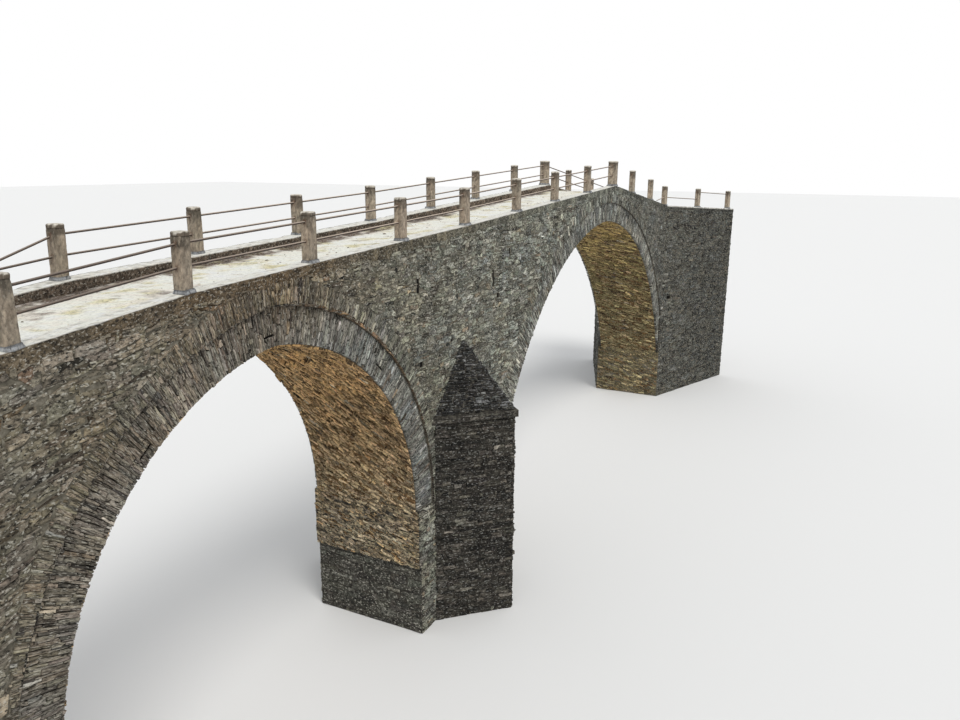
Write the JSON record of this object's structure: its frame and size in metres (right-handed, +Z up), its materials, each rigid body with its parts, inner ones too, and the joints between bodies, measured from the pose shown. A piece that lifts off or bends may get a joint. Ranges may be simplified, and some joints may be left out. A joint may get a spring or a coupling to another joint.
{
  "type": "stone arch bridge",
  "caption": "Humped rubble-stone footbridge with a small and a large pointed arch, a river pier with cutwaters, and a concrete post-and-rail parapet.",
  "frame": {"origin": "centre of the river pier's foot, on the level of its base", "axes": "+X along the bridge towards the large arch, +Y across it to the far face, +Z up"},
  "size_m": [38.6628, 6.5354, 10.1212],
  "materials": {
    "wall_stone": "matte",
    "ring_stone": "matte",
    "barrel_stone": "matte",
    "dark_stone": "matte",
    "roadway": "matte",
    "kerb_concrete": "matte",
    "post_concrete": "matte",
    "mortar": "matte",
    "rusty_iron": "matte"
  },
  "bodies": {
    "root": {"bent_rail_far": "rusty_iron", "broken_rail_near": "rusty_iron", "cutwater_cap_far": "dark_stone", "cutwater_cap_near": "dark_stone", "cutwater_far": "dark_stone", "cutwater_near": "dark_stone", "deck_climb": "roadway", "deck_fall": "roadway", "deck_left": "roadway", "deck_right": "roadway", "deck_rise": "roadway", "kerbs_climb": "kerb_concrete", "kerbs_fall": "kerb_concrete", "kerbs_left": "kerb_concrete", "kerbs_right": "kerb_concrete", "kerbs_rise": "kerb_concrete", "large_arch_barrel_left": "barrel_stone", "large_arch_barrel_right": "barrel_stone", "large_arch_ring_far": "ring_stone", "large_arch_ring_near": "ring_stone", "left_abutment": "wall_stone", "left_wing_far": "wall_stone", "left_wing_near": "wall_stone", "pier_footing": "dark_stone", "pier_shaft": "wall_stone", "post_caps": "mortar", "post_pads": "mortar", "posts_far": "post_concrete", "posts_near": "post_concrete", "rails_far": "rusty_iron", "rails_near": "rusty_iron", "right_abutment": "wall_stone", "right_wing_far": "wall_stone", "right_wing_near": "wall_stone", "small_arch_barrel": "barrel_stone", "small_arch_ring_far": "ring_stone", "small_arch_ring_near": "ring_stone", "spandrel_fill": "wall_stone", "spandrel_left_far": "wall_stone", "spandrel_left_near": "wall_stone", "spandrel_middle_far": "wall_stone", "spandrel_middle_near": "wall_stone", "spandrel_right_far": "wall_stone", "spandrel_right_near": "wall_stone"}
  },
  "joints": []
}
